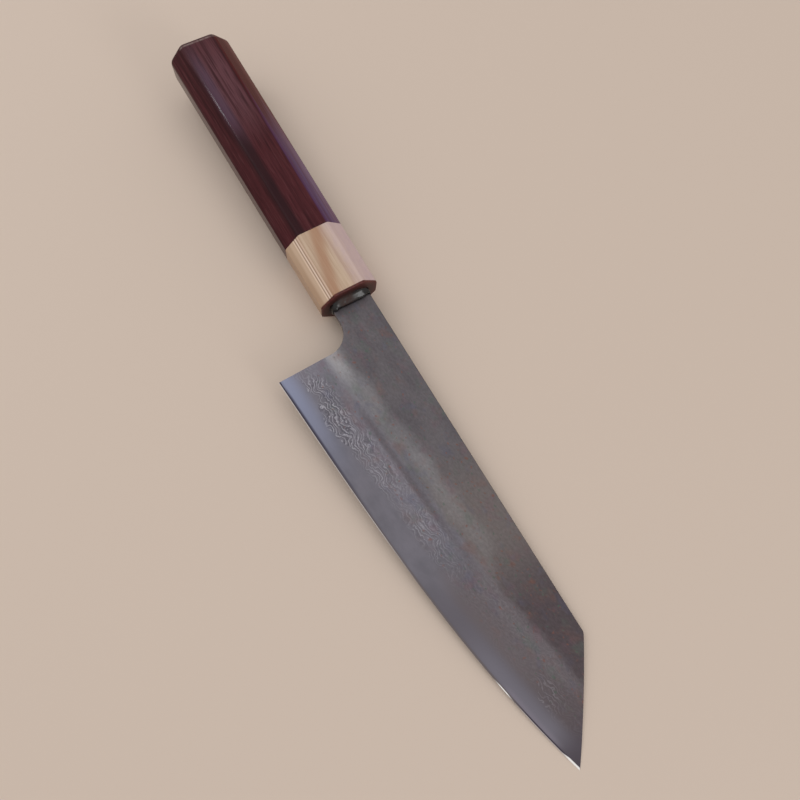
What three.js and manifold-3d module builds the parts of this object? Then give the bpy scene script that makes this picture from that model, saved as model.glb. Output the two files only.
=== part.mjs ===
// A bunka kitchen knife: a laminated blade with a hidden tang in a glued, eight-sided wooden handle.
// Millimetres, +Z up. The knife lies on its side: +X runs to the tip and +Y to the spine.
// While it is built, x = 0 is the front of the handle and y = z = 0 is the handle's axis.
import * as THREE from 'three';
import { mergeVertices } from 'three/addons/utils/BufferGeometryUtils.js';
import loadManifold from 'manifold-3d';

const wasm = await loadManifold();
wasm.setup();

// Handle, from the butt to the front
const BODY_LENGTH = 98.7;
const FERRULE_LENGTH = 27.6;
const CAP_LENGTH = 0.8;
const BUTT_WIDTH = 25.9;
const BUTT_THICKNESS = 20.5;
const FRONT_WIDTH = 24.1;
const FRONT_THICKNESS = 19.1;
const CORNER_CUT = 5.9;
const BUTT_ROUND = 2.4;
const MOUTH_THICKNESS = 12.6;

// Tang inside the handle, and the walls of the slotted dowel that takes it
const TANG_LENGTH = 85;
const TANG_HEIGHT = 10.5;
const TANG_END_HEIGHT = 6.5;
const DOWEL_WALL = 0.9;
const DOWEL_END = 7;

// Blade outline
const NECK_LENGTH = 16.5;
const NECK_HEIGHT = 16.1;
const SPINE_OFFSET = 7.9;
const SPINE_RISE = 0.9;
const CHOIL_RADIUS = 9.5;
const BLADE_LENGTH = 165;
const HEEL_HEIGHT = 47.4;
const CLIP_LENGTH = 34.1;
const CLIP_BOW = 0.7;
const EDGE_RISE = 11.5;
const BELLY_RISE = 10.8;
const BELLY_POWER = 3.5;

// Blade section: flats at the spine, a wide bevel below them and a small bevel at the edge
const SPINE_THICKNESS = 2.2;
const CLIP_THICKNESS = 1.3;
const BEVEL_HEIGHT = 20;
const EDGE_THICKNESS = 0.26;
const EDGE_BEVEL = 0.7;

// Where the core comes out from under the cladding, as a band above the edge
const CORE_BAND = 6.8;
const CORE_WAVE = 1.2;
const CORE_WAVE_LENGTH = 25;
const CORE_WAVE_CREST = 11;

// Clearances and resin
const DOWEL_CLEARANCE = 0.1;
const BORE_END_CLEARANCE = 1;
const RESIN_WALL = 1;
const RESIN_END = 3;
const RESIN_CLEARANCE = 0.1;
const RESIN_PROUD = 0.4;

// How far a cutting shape runs past the face that it opens
const CUT_PAST = 2;

// Fineness of the facets
const ROUND_STEPS = 40;
const BUTT_STEPS = 5;
const CHOIL_STEPS = 10;
const STATIONS_PER_WAVE = 10;
const MERGE_DISTANCE = 1e-4;

// Places along the knife
const capBack = -CAP_LENGTH;
const ferruleBack = capBack - FERRULE_LENGTH;
const butt = ferruleBack - BODY_LENGTH;
const buttShoulder = butt + BUTT_ROUND;
const tangEnd = capBack - TANG_LENGTH;
const heel = NECK_LENGTH;
const tip = heel + BLADE_LENGTH;
const clipStart = tip - CLIP_LENGTH;

// Heights across the blade
const neckTop = SPINE_OFFSET;
const clipCorner = neckTop + SPINE_RISE;
const heelCorner = neckTop - HEEL_HEIGHT;
const tipHeight = heelCorner + EDGE_RISE + BELLY_RISE;
const neckLow = neckTop - NECK_HEIGHT;
const choilEnd = neckLow - CHOIL_RADIUS;

const lerp = THREE.MathUtils.lerp;
const clamp = THREE.MathUtils.clamp;

// Height of the cutting edge at x: straight behind the heel, with a belly that grows to the tip
function edgeAt(x) {
  const along = (x - heel) / BLADE_LENGTH;
  return heelCorner + EDGE_RISE * along + BELLY_RISE * Math.max(along, 0) ** BELLY_POWER;
}

// Height of the upper outline at x: tang, then spine, then the slanting and slightly bowed clip
function topAt(x, part) {
  if (part === 'tang') return tangHalfHeight(x);
  if (x <= clipStart) return neckTop + SPINE_RISE * (Math.max(x, 0) / clipStart);
  const along = (x - clipStart) / CLIP_LENGTH;
  return lerp(clipCorner, tipHeight, along) + CLIP_BOW * 4 * along * (1 - along);
}

// Height of the lower outline at x: tang, neck with the round choil, then the edge
function bottomAt(x, part) {
  if (part === 'tang') return -tangHalfHeight(x);
  if (part === 'blade') return edgeAt(x);
  const intoChoil = clamp(x - (heel - CHOIL_RADIUS), 0, CHOIL_RADIUS);
  return choilEnd + Math.sqrt(CHOIL_RADIUS ** 2 - intoChoil ** 2);
}

function tangHalfHeight(x) {
  return lerp(TANG_HEIGHT, TANG_END_HEIGHT, (capBack - x) / TANG_LENGTH) / 2;
}

// Half thickness of the flats, which thin out from the heel to the clip and on to the tip
function flatHalf(x) {
  const along = Math.max(x - heel, 0) / (clipStart - heel);
  return lerp(SPINE_THICKNESS, CLIP_THICKNESS, along) / 2;
}

// Half thickness on the wide bevel, which rises from the small bevel to the flats
function bevelHalf(x, aboveEdge) {
  const up = (aboveEdge - EDGE_BEVEL) / (BEVEL_HEIGHT - EDGE_BEVEL);
  return lerp(EDGE_THICKNESS / 2, flatHalf(x), up);
}

// Half thickness of the whole blade at height y
function surfaceHalf(x, y) {
  const aboveEdge = y - edgeAt(x);
  if (aboveEdge < EDGE_BEVEL) return (EDGE_THICKNESS / 2) * (aboveEdge / EDGE_BEVEL);
  return Math.min(bevelHalf(x, aboveEdge), flatHalf(x));
}

// The forged core is wavy, so the line where it comes out of the cladding waves along the blade
function coreBand(x) {
  return CORE_BAND + CORE_WAVE * Math.cos((2 * Math.PI * (x - heel - CORE_WAVE_CREST)) / CORE_WAVE_LENGTH);
}

function coreHalf(x) {
  return bevelHalf(x, coreBand(x));
}

// Where a line at the given height above the edge runs out at the clip
function clipCrossing(heightAboveEdge) {
  let near = clipStart;
  let far = tip;
  for (let step = 0; step < ROUND_STEPS; step++) {
    const middle = (near + far) / 2;
    const inside = edgeAt(middle) + heightAboveEdge(middle) < topAt(middle, 'blade');
    if (inside) near = middle;
    else far = middle;
  }
  return near;
}

const coreEnd = clipCrossing(coreBand);
const flatEnd = clipCrossing(() => BEVEL_HEIGHT);

// Cross-section places along the blade, each with the stretch that it closes or opens
function stations() {
  const list = [{ x: tangEnd, part: 'tang' }, { x: capBack, part: 'tang' }, { x: capBack, part: 'neck' }];
  for (let step = 0; step <= CHOIL_STEPS; step++) {
    const turn = (Math.PI / 2) * (step / CHOIL_STEPS);
    list.push({ x: heel - CHOIL_RADIUS + CHOIL_RADIUS * Math.sin(turn), part: 'neck' });
  }
  const spacing = CORE_WAVE_LENGTH / STATIONS_PER_WAVE;
  const fixed = [heel, clipStart, flatEnd, coreEnd, tip];
  const between = [];
  for (let x = heel + spacing; x < tip; x += spacing) {
    if (fixed.every((place) => Math.abs(place - x) > spacing / 4)) between.push(x);
  }
  const along = [...fixed, ...between].sort((a, b) => a - b);
  return list.concat(along.map((x) => ({ x, part: 'blade' })));
}

// Heights of the lines that a cross-section is drawn through, from the edge to the spine
function levels({ x, part }) {
  const low = bottomAt(x, part);
  const high = topAt(x, part);
  const flatStart = edgeAt(x) + BEVEL_HEIGHT;
  const alongNeck = clamp((x - capBack) / (heel - capBack), 0, 1);
  const lines = {
    edge: edgeAt(x),
    shoulder: edgeAt(x) + EDGE_BEVEL,
    core: edgeAt(x) + coreBand(x),
    flat: flatStart,
    choil: choilEnd,
    tangLow: lerp(-TANG_HEIGHT / 2, flatStart, alongNeck),
    tangHigh: lerp(TANG_HEIGHT / 2, high, alongNeck),
    top: high,
  };
  let last = low;
  for (const name of Object.keys(lines)) {
    last = clamp(lines[name], last, high);
    lines[name] = last;
  }
  return lines;
}

const coreLines = ['edge', 'shoulder', 'core', 'choil', 'tangLow', 'tangHigh', 'top'];
const claddingLines = ['core', 'flat', 'choil', 'tangLow', 'tangHigh', 'top'];

// A closed ring through the upper and the lower surface of one ply at a station
function plyRing(station, names, upper, lower) {
  const heights = levels(station);
  const { x } = station;
  const across = names.map((name) => heights[name]);
  const over = across.map((y) => [x, y, upper(x, y)]).reverse();
  const under = across.map((y) => [x, y, lower(x, y)]);
  return [...over, ...under];
}

// A solid through rings of equal length. Each ring runs anticlockwise as seen from +X.
function loft(rings) {
  const count = rings[0].length;
  const positions = rings.flat(2);
  const index = [];
  for (let ring = 0; ring < rings.length - 1; ring++) {
    for (let point = 0; point < count; point++) {
      const next = (point + 1) % count;
      const a = ring * count + point;
      const b = ring * count + next;
      index.push(a, b, a + count, b, b + count, a + count);
    }
  }
  const last = (rings.length - 1) * count;
  for (let point = 1; point < count - 1; point++) {
    index.push(0, point + 1, point);
    index.push(last, last + point, last + point + 1);
  }
  const geometry = new THREE.BufferGeometry();
  geometry.setAttribute('position', new THREE.Float32BufferAttribute(positions, 3));
  geometry.setIndex(index);
  return withoutSlivers(geometry);
}

// Joins corners at one place and drops the triangles that this leaves without an area
function withoutSlivers(geometry) {
  const merged = mergeVertices(geometry, MERGE_DISTANCE);
  const old = merged.index.array;
  const kept = [];
  for (let i = 0; i < old.length; i += 3) {
    const [a, b, c] = [old[i], old[i + 1], old[i + 2]];
    if (a !== b && b !== c && c !== a) kept.push(a, b, c);
  }
  merged.setIndex(kept);
  return merged;
}

function solid(geometry) {
  const bare = geometry.clone();
  bare.deleteAttribute('normal');
  bare.deleteAttribute('uv');
  const merged = mergeVertices(bare, MERGE_DISTANCE);
  return new wasm.Manifold(
    new wasm.Mesh({
      numProp: 3,
      vertProperties: merged.attributes.position.array,
      triVerts: new Uint32Array(merged.index.array),
    }),
  );
}

function geometryOf(manifold) {
  const mesh = manifold.getMesh();
  const geometry = new THREE.BufferGeometry();
  geometry.setAttribute('position', new THREE.BufferAttribute(mesh.vertProperties, 3));
  geometry.setIndex(new THREE.BufferAttribute(mesh.triVerts, 1));
  return geometry;
}

function cut(from, tool) {
  return geometryOf(solid(from).subtract(solid(tool)));
}

// A box between two x places, two y places and a half thickness
function block(x0, x1, y0, y1, halfThickness) {
  const box = new THREE.BoxGeometry(x1 - x0, y1 - y0, 2 * halfThickness);
  return box.translate((x0 + x1) / 2, (y0 + y1) / 2, 0);
}

// A round bar along the handle's axis
function bar(x0, x1, diameter) {
  const cylinder = new THREE.CylinderGeometry(diameter / 2, diameter / 2, x1 - x0, ROUND_STEPS);
  return cylinder.rotateZ(-Math.PI / 2).translate((x0 + x1) / 2, 0, 0);
}

// The tang's outline, larger all round by a margin
function tangBlock(margin) {
  const shape = new THREE.Shape([
    new THREE.Vector2(tangEnd - margin, -TANG_END_HEIGHT / 2 - margin),
    new THREE.Vector2(capBack + margin, -TANG_HEIGHT / 2 - margin),
    new THREE.Vector2(capBack + margin, TANG_HEIGHT / 2 + margin),
    new THREE.Vector2(tangEnd - margin, TANG_END_HEIGHT / 2 + margin),
  ]);
  const thickness = SPINE_THICKNESS + 2 * margin;
  return new THREE.ExtrudeGeometry(shape, { depth: thickness, bevelEnabled: false }).translate(0, 0, -thickness / 2);
}

// The neck where it passes the front cap and the resin, larger all round by a margin
function neckBlock(margin) {
  const front = RESIN_PROUD + CUT_PAST;
  return block(capBack - margin, front, neckLow - margin, neckTop + margin, SPINE_THICKNESS / 2 + margin);
}

// Eight-sided outline of the tapering handle at x, drawn in on all sides by an inset
function octagon(x, inset = 0) {
  const along = (x - buttShoulder) / -buttShoulder;
  const halfWidth = lerp(BUTT_WIDTH, FRONT_WIDTH, along) / 2 - inset;
  const halfThickness = lerp(BUTT_THICKNESS, FRONT_THICKNESS, along) / 2 - inset;
  const flatWidth = halfWidth + inset - CORNER_CUT;
  const flatThickness = halfThickness + inset - CORNER_CUT;
  return [
    [x, halfWidth, -flatThickness],
    [x, halfWidth, flatThickness],
    [x, flatWidth, halfThickness],
    [x, -flatWidth, halfThickness],
    [x, -halfWidth, flatThickness],
    [x, -halfWidth, -flatThickness],
    [x, -flatWidth, -halfThickness],
    [x, flatWidth, -halfThickness],
  ];
}

// Shared outlines of the dowel's slot and the cap's oval mouth, which the resin fills
const slotHalfThickness = SPINE_THICKNESS / 2 + RESIN_WALL;
const dowelSlotHalfHeight = TANG_HEIGHT / 2 + RESIN_WALL;
const dowelSlotEnd = tangEnd - RESIN_END;
const dowelEnd = dowelSlotEnd - DOWEL_END;
const dowelDiameter = 2 * (Math.hypot(dowelSlotHalfHeight, slotHalfThickness) + DOWEL_WALL);
const boreDiameter = dowelDiameter + 2 * DOWEL_CLEARANCE;
const mouthWidth = NECK_HEIGHT + 2 * RESIN_WALL;
const mouthCentre = (neckTop + neckLow) / 2;

function dowelSlot(front, margin) {
  const halfHeight = dowelSlotHalfHeight - margin;
  return block(dowelSlotEnd + margin, front, -halfHeight, halfHeight, slotHalfThickness - margin);
}

function mouthBar(back, front, margin) {
  const oval = bar(back, front, 1).scale(1, mouthWidth - 2 * margin, MOUTH_THICKNESS - 2 * margin);
  return oval.translate(0, mouthCentre, 0);
}

function bladeCore() {
  const upper = (x, y) => Math.min(surfaceHalf(x, y), coreHalf(x));
  return loft(stations().map((station) => plyRing(station, coreLines, upper, (x, y) => -upper(x, y))));
}

function cladding(side) {
  const reach = stations().filter((station) => station.x <= coreEnd);
  const outer = (x, y) => Math.max(surfaceHalf(x, y), coreHalf(x));
  const upper = side > 0 ? outer : (x) => -coreHalf(x);
  const lower = side > 0 ? (x) => coreHalf(x) : (x, y) => -outer(x, y);
  return loft(reach.map((station) => plyRing(station, claddingLines, upper, lower)));
}

function handleBody() {
  const rounded = [];
  for (let step = 0; step <= BUTT_STEPS; step++) {
    const turn = (Math.PI / 2) * (step / BUTT_STEPS);
    const back = BUTT_ROUND * (1 - Math.sin(turn));
    rounded.push(octagon(buttShoulder - BUTT_ROUND * Math.cos(turn), back));
  }
  const outside = loft([...rounded, octagon(ferruleBack)]);
  const boreEnd = dowelEnd - BORE_END_CLEARANCE;
  return cut(outside, bar(boreEnd, ferruleBack + CUT_PAST, boreDiameter));
}

function ferrule() {
  const outside = loft([octagon(ferruleBack), octagon(capBack)]);
  return cut(outside, bar(ferruleBack - CUT_PAST, capBack + CUT_PAST, boreDiameter));
}

function frontCap() {
  const outside = loft([octagon(capBack), octagon(0)]);
  return cut(outside, mouthBar(capBack - CUT_PAST, CUT_PAST, 0));
}

function dowel() {
  return cut(bar(dowelEnd, capBack, dowelDiameter), dowelSlot(capBack + CUT_PAST, 0));
}

// The resin in the dowel's slot runs on to the front of the handle, as one body with the mouth
function tangBedding() {
  const inside = solid(dowelSlot(0, RESIN_CLEARANCE));
  const mouth = solid(mouthBar(capBack, RESIN_PROUD, RESIN_CLEARANCE));
  const bladeSpace = solid(tangBlock(RESIN_CLEARANCE)).add(solid(neckBlock(RESIN_CLEARANCE)));
  return geometryOf(inside.add(mouth).subtract(bladeSpace));
}

function piece(name, geometry, color, roughness, metalness) {
  const material = new THREE.MeshStandardMaterial({ color, roughness, metalness });
  const mesh = new THREE.Mesh(geometry, material);
  mesh.name = name;
  return mesh;
}

const knife = new THREE.Group();
knife.add(
  piece('blade_core', bladeCore(), 0x8d929c, 0.25, 1),
  piece('cladding_right', cladding(1), 0x6b676b, 0.4, 1),
  piece('cladding_left', cladding(-1), 0x6b676b, 0.4, 1),
  piece('handle_body', handleBody(), 0x4e2629, 0.35, 0),
  piece('ferrule', ferrule(), 0xc3a58c, 0.5, 0),
  piece('front_cap', frontCap(), 0x552823, 0.5, 0),
  piece('dowel', dowel(), 0xcdb48c, 0.7, 0),
  piece('tang_bedding', tangBedding(), 0x1c1a1a, 0.25, 0),
);

// The origin lies under the middle of the whole knife, on the surface that it rests on
knife.position.set(-(butt + tip) / 2, -(BUTT_WIDTH / 2 + heelCorner) / 2, BUTT_THICKNESS / 2);

export default knife;
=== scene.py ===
"""Looks of a bunka kitchen knife: laminated blade, eight-sided wooden handle, resin at the neck.

Shapes are worked out in millimetres, with x = 0 at the front of the handle and y = z = 0 on its axis,
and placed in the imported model's frame, in metres.
"""

import math

import bmesh
import bpy
from mathutils import Matrix, Vector, noise


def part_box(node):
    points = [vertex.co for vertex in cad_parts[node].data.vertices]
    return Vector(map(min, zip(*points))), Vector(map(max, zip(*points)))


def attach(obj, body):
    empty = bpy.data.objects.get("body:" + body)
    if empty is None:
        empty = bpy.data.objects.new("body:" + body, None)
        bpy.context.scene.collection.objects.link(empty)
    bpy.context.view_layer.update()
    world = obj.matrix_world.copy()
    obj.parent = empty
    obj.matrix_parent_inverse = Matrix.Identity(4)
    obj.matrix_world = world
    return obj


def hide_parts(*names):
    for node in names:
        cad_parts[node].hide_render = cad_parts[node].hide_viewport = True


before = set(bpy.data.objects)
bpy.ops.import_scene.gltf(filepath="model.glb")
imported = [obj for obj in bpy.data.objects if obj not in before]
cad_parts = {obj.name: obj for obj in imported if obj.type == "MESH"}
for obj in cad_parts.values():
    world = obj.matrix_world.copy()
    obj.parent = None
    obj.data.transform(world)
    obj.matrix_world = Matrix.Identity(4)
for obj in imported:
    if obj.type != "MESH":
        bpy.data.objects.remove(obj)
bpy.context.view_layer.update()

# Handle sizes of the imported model, in millimetres
BODY_LENGTH = 98.7
FERRULE_LENGTH = 27.6
CAP_LENGTH = 0.8
BUTT_WIDTH = 25.9
BUTT_THICKNESS = 20.5
FRONT_WIDTH = 24.1
FRONT_THICKNESS = 19.1
CORNER_CUT = 5.9
BUTT_ROUND = 2.4
MOUTH_THICKNESS = 12.6
BORE_DIAMETER = 15.2
BORE_LENGTH = 69.4

# Tang and blade outline
TANG_LENGTH = 85
TANG_HEIGHT = 10.5
TANG_END_HEIGHT = 6.5
NECK_LENGTH = 16.5
NECK_HEIGHT = 16.1
SPINE_OFFSET = 7.9
SPINE_RISE = 0.9
CHOIL_RADIUS = 9.5
BLADE_LENGTH = 165
HEEL_HEIGHT = 47.4
CLIP_LENGTH = 34.1
CLIP_BOW = 0.7
EDGE_RISE = 11.5
BELLY_RISE = 10.8
BELLY_POWER = 3.5

# Blade section
SPINE_THICKNESS = 2.2
CLIP_THICKNESS = 1.3
BEVEL_HEIGHT = 20
EDGE_THICKNESS = 0.26
EDGE_BEVEL = 0.7

# Line where the core comes out: a long wave, and ripples with a height, turns per long wave and a start
CORE_BAND = 6.8
CORE_WAVE = 1.2
CORE_WAVE_LENGTH = 25
CORE_WAVE_CREST = 11
CORE_RIPPLES = ((0.45, 3.4, 1), (0.3, 6.3, 2))

# Softened forms that only the looks have. Easing takes at most a share of the cladding's thickness.
RIDGE_ROUND = 1.3
BUTT_RIDGE_ROUND = 3.2
BUTT_RIDGE_LENGTH = 75
BUTT_RIDGE_POWER = 1.5
JOINT_ROUND = 0.12
EASED_EDGE = 0.3
EASED_SHARE = 0.8
BEVEL_BLEND = 0.08

# Resin: its lip stands at a share of the way to the neck, then drops by a share of its climb
RESIN_CLIMB = 2.3
RESIN_LIP = 0.8
RESIN_LIP_POWER = 1.6
RESIN_DROP = 0.45
RESIN_ROUGH = 0.9
RESIN_RATE_Y = 0.5
RESIN_RATE_Z = 0.4
RESIN_NOISE_LEVEL = 3
RESIN_SINK = 0.1
RESIN_GAP = 0.02
RESIN_WALL = 1
RESIN_CLEARANCE = 0.1
RESIN_END = 3
OVAL_POWER = 2
BLOCK_POWER = 10

# Heights that a cladding's section is drawn through: above the edge, from the bevel line, and as shares
LOWER_HEIGHTS = (10, 14)
BEVEL_LINE_OFFSETS = (-3, -2, -1, -0.5, 0, 0.5, 1, 2, 3)
QUARTERS = (0.25, 0.5, 0.75)
EASED_STEPS = (1, 0.7, 0.35, 0)

# Fineness
RIDGE_STEPS = 4
BUTT_STEPS = 8
BODY_STATIONS = 28
BLADE_STEP = 0.8
CHOIL_STEPS = 16
RESIN_POINTS = 64
RESIN_RINGS = 17
EDGE_STEP = 0.05
EDGE_MARGIN = 0.01
SHORTEST_EDGE_FACE = 0.1
TIP_HALVINGS = 40
WELD_DISTANCE = 1e-8
SHARP_ANGLE = math.radians(30)

MM = 0.001
UV_NAME = "blade_mm"

# Places along the knife and across the blade
cap_back = -CAP_LENGTH
ferrule_back = cap_back - FERRULE_LENGTH
butt = ferrule_back - BODY_LENGTH
butt_shoulder = butt + BUTT_ROUND
tang_end = cap_back - TANG_LENGTH
heel = NECK_LENGTH
tip = heel + BLADE_LENGTH
clip_start = tip - CLIP_LENGTH
neck_top = SPINE_OFFSET
clip_corner = neck_top + SPINE_RISE
heel_corner = neck_top - HEEL_HEIGHT
tip_height = heel_corner + EDGE_RISE + BELLY_RISE
neck_low = neck_top - NECK_HEIGHT
choil_end = neck_low - CHOIL_RADIUS
mouth_half_width = NECK_HEIGHT / 2 + RESIN_WALL
mouth_half_thickness = MOUTH_THICKNESS / 2
mouth_centre = (neck_top + neck_low) / 2

# On the handle's upper right chamfer, y + z + CHAMFER_TAPER * x comes to CHAMFER_REACH
CHAMFER_REACH = (FRONT_WIDTH + FRONT_THICKNESS) / 2 - CORNER_CUT
CHAMFER_TAPER = (BUTT_WIDTH + BUTT_THICKNESS - FRONT_WIDTH - FRONT_THICKNESS) / 2 / -butt_shoulder

cap_low, cap_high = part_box("front_cap")
handle_front = Vector((cap_high.x, (cap_low.y + cap_high.y) / 2, (cap_low.z + cap_high.z) / 2))


def place(x, y, z):
    """A point in millimetres from the front of the handle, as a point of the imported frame."""
    return handle_front + Vector((x, y, z)) * MM


def lerp(a, b, t):
    return a + (b - a) * t


def clamp(value, low, high):
    return max(low, min(high, value))


def soft_min(a, b, blend):
    """The smaller of two values, rounded over where they are closer than the blend."""
    near = max(blend - abs(a - b), 0) / blend
    return min(a, b) - near * near * blend / 4


# Blade outline and thickness

def edge_at(x):
    along = (x - heel) / BLADE_LENGTH
    return heel_corner + EDGE_RISE * along + BELLY_RISE * max(along, 0) ** BELLY_POWER


def tang_half_height(x):
    return lerp(TANG_HEIGHT, TANG_END_HEIGHT, (cap_back - x) / TANG_LENGTH) / 2


def top_at(x, part):
    if part == "tang":
        return tang_half_height(x)
    if x <= clip_start:
        return neck_top + SPINE_RISE * max(x, 0) / clip_start
    along = (x - clip_start) / CLIP_LENGTH
    return lerp(clip_corner, tip_height, along) + CLIP_BOW * 4 * along * (1 - along)


def bottom_at(x, part):
    if part == "tang":
        return -tang_half_height(x)
    if part == "blade":
        return edge_at(x)
    into_choil = clamp(x - (heel - CHOIL_RADIUS), 0, CHOIL_RADIUS)
    return choil_end + math.sqrt(CHOIL_RADIUS**2 - into_choil**2)


def flat_half(x):
    along = max(x - heel, 0) / (clip_start - heel)
    return lerp(SPINE_THICKNESS, CLIP_THICKNESS, along) / 2


def bevel_half(x, above_edge):
    up = (above_edge - EDGE_BEVEL) / (BEVEL_HEIGHT - EDGE_BEVEL)
    return lerp(EDGE_THICKNESS / 2, flat_half(x), up)


def core_band(x):
    """Height above the edge at which the forged core comes out of the cladding."""
    turn = 2 * math.pi * (x - heel - CORE_WAVE_CREST) / CORE_WAVE_LENGTH
    ripples = sum(height * math.sin(rate * turn + start) for height, rate, start in CORE_RIPPLES)
    return CORE_BAND + CORE_WAVE * math.cos(turn) + ripples


def core_half(x):
    return bevel_half(x, core_band(x))


def surface_half(x, y):
    """Half thickness of the blade, with a soft bevel line."""
    above_edge = y - edge_at(x)
    if above_edge < EDGE_BEVEL:
        return EDGE_THICKNESS / 2 * above_edge / EDGE_BEVEL
    return soft_min(bevel_half(x, above_edge), flat_half(x), BEVEL_BLEND)


def eased_fall(x, y, low, high, part):
    """How far a cladding's outer face falls in to its eased spine, and to the neck's lower edge."""
    from_edge = high - y
    if part == "neck":
        from_edge = min(from_edge, y - low)
    into_round = clamp(1 - from_edge / EASED_EDGE, 0, 1)
    radius = clamp(EASED_SHARE * (surface_half(x, high) - core_half(x)), 0, EASED_EDGE)
    return radius * (1 - math.sqrt(1 - into_round**2))


# Mesh building

def new_piece(name, mesh_maker, nodes, materials):
    """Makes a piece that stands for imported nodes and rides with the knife."""
    work = bmesh.new()
    mesh_maker(work)
    bmesh.ops.recalc_face_normals(work, faces=work.faces)
    mesh = bpy.data.meshes.new(name)
    work.to_mesh(mesh)
    work.free()
    mesh.polygons.foreach_set("use_smooth", [True] * len(mesh.polygons))
    mesh.set_sharp_from_angle(angle=SHARP_ANGLE)
    for material in materials:
        mesh.materials.append(material)
    piece = bpy.data.objects.new(name, mesh)
    bpy.context.scene.collection.objects.link(piece)
    weighted = piece.modifiers.new("even_normals", "WEIGHTED_NORMAL")
    weighted.keep_sharp = True
    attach(piece, "root")
    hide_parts(*nodes)


def loft(work, rings, cap_start=False, cap_end=False, closed=False):
    """Joins rings of equal length, each a list of points in millimetres, into a skin of quads."""
    grid = [[work.verts.new(place(*point)) for point in ring] for ring in rings]
    count = len(rings[0])
    pairs = list(zip(grid, grid[1:]))
    if closed:
        pairs.append((grid[-1], grid[0]))
    for near, far in pairs:
        for k in range(count):
            following = (k + 1) % count
            work.faces.new((near[k], near[following], far[following], far[k]))
    if cap_start:
        work.faces.new(grid[0])
    if cap_end:
        work.faces.new(grid[-1])


# Blade plies

def blade_stations():
    """Cross-section places from the end of the tang to the tip."""
    stations = [(tang_end, "tang"), (cap_back, "tang"), (cap_back, "neck")]
    for step in range(CHOIL_STEPS + 1):
        turn = math.pi / 2 * step / CHOIL_STEPS
        stations.append((heel - CHOIL_RADIUS + CHOIL_RADIUS * math.sin(turn), "neck"))
    count = round(BLADE_LENGTH / BLADE_STEP)
    stations += [(lerp(heel, tip, step / count), "blade") for step in range(count + 1)]
    return stations


def cladding_heights(x, part):
    """Heights that a cladding's section is drawn through, from its lower border to the spine."""
    edge = edge_at(x)
    bevel_line = edge + BEVEL_HEIGHT
    low, high = max(bottom_at(x, part), edge + core_band(x)), top_at(x, part)
    eased = [EASED_EDGE * (1 - math.sin(math.pi / 2 * step)) for step in EASED_STEPS]
    heights = [low + step for step in eased]
    heights += [edge + step for step in LOWER_HEIGHTS]
    heights += [bevel_line + offset for offset in BEVEL_LINE_OFFSETS]
    heights += [lerp(bevel_line + BEVEL_LINE_OFFSETS[-1], high - EASED_EDGE, share) for share in QUARTERS]
    heights += [high - step for step in reversed(eased)]
    return [clamp(height, low, high) for height in sorted(heights)]


def cladding_ring(x, part, side):
    heights = cladding_heights(x, part)
    low, high = heights[0], heights[-1]
    inner = core_half(x)
    outer = []
    for y in heights:
        half = surface_half(x, y) - eased_fall(x, y, low, high, part)
        outer.append((x, y, side * max(half, inner)))
    inside = [(x, y, side * inner) for y in reversed(heights)]
    return outer + inside


def cladding_room(x):
    """Height of cladding between the core line and the spine, on the blade."""
    return top_at(x, "blade") - edge_at(x) - core_band(x)


def cladding_tip():
    """Where the core line meets the clipped spine."""
    low, high = clip_start, tip
    for _ in range(TIP_HALVINGS):
        middle = (low + high) / 2
        low, high = (middle, high) if cladding_room(middle) > 0 else (low, middle)
    return low


def drop_empty_faces(work):
    """Drops the faces without area that are left where rings run together."""
    bmesh.ops.remove_doubles(work, verts=work.verts, dist=WELD_DISTANCE)
    bmesh.ops.dissolve_degenerate(work, edges=work.edges, dist=WELD_DISTANCE)


def write_blade_uv(work):
    """Stores for each corner how far it is along from the heel and above the edge, in millimetres."""
    uv = work.loops.layers.uv.new(UV_NAME)
    for face in work.faces:
        for loop in face.loops:
            point = (loop.vert.co - handle_front) / MM
            loop[uv].uv = (point.x - heel, point.y - edge_at(point.x))


def make_cladding(side):
    end = cladding_tip()

    def maker(work):
        reach = [station for station in blade_stations() if station[0] < end] + [(end, "blade")]
        loft(work, [cladding_ring(x, part, side) for x, part in reach], cap_start=True)
        drop_empty_faces(work)
        write_blade_uv(work)
    return maker


def core_ring(x, part):
    low, high = bottom_at(x, part), top_at(x, part)
    edge = edge_at(x)
    band = core_band(x)
    heights = [edge, edge + EDGE_BEVEL, edge + EDGE_BEVEL + EDGE_STEP]
    heights += [edge + lerp(EDGE_BEVEL, band, share) for share in QUARTERS + (1,)]
    heights += [choil_end, high]
    heights = [clamp(height, low, high) for height in sorted(heights)]
    half = [min(surface_half(x, y), core_half(x)) for y in heights]
    over = [(x, y, z) for y, z in zip(heights, half)]
    under = [(x, y, -z) for y, z in zip(reversed(heights), reversed(half))]
    return over + under


def make_core(work):
    loft(work, [core_ring(x, part) for x, part in blade_stations()], cap_start=True, cap_end=True)
    drop_empty_faces(work)
    write_blade_uv(work)
    uv = work.loops.layers.uv[UV_NAME]
    for face in work.faces:
        heights = [loop[uv].uv.y for loop in face.loops]
        lengths = [loop[uv].uv.x for loop in face.loops]
        honed = max(heights) < EDGE_BEVEL + EDGE_MARGIN
        along_edge = max(lengths) - min(lengths) > SHORTEST_EDGE_FACE
        face.material_index = 1 if honed and along_edge else 0


# Handle

def ridge_round(x):
    """Radius of the handle's long ridges, which the butt's sanding has softened."""
    near_butt = clamp((butt + BUTT_RIDGE_LENGTH - x) / BUTT_RIDGE_LENGTH, 0, 1)
    return lerp(RIDGE_ROUND, BUTT_RIDGE_ROUND, near_butt**BUTT_RIDGE_POWER)


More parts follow.
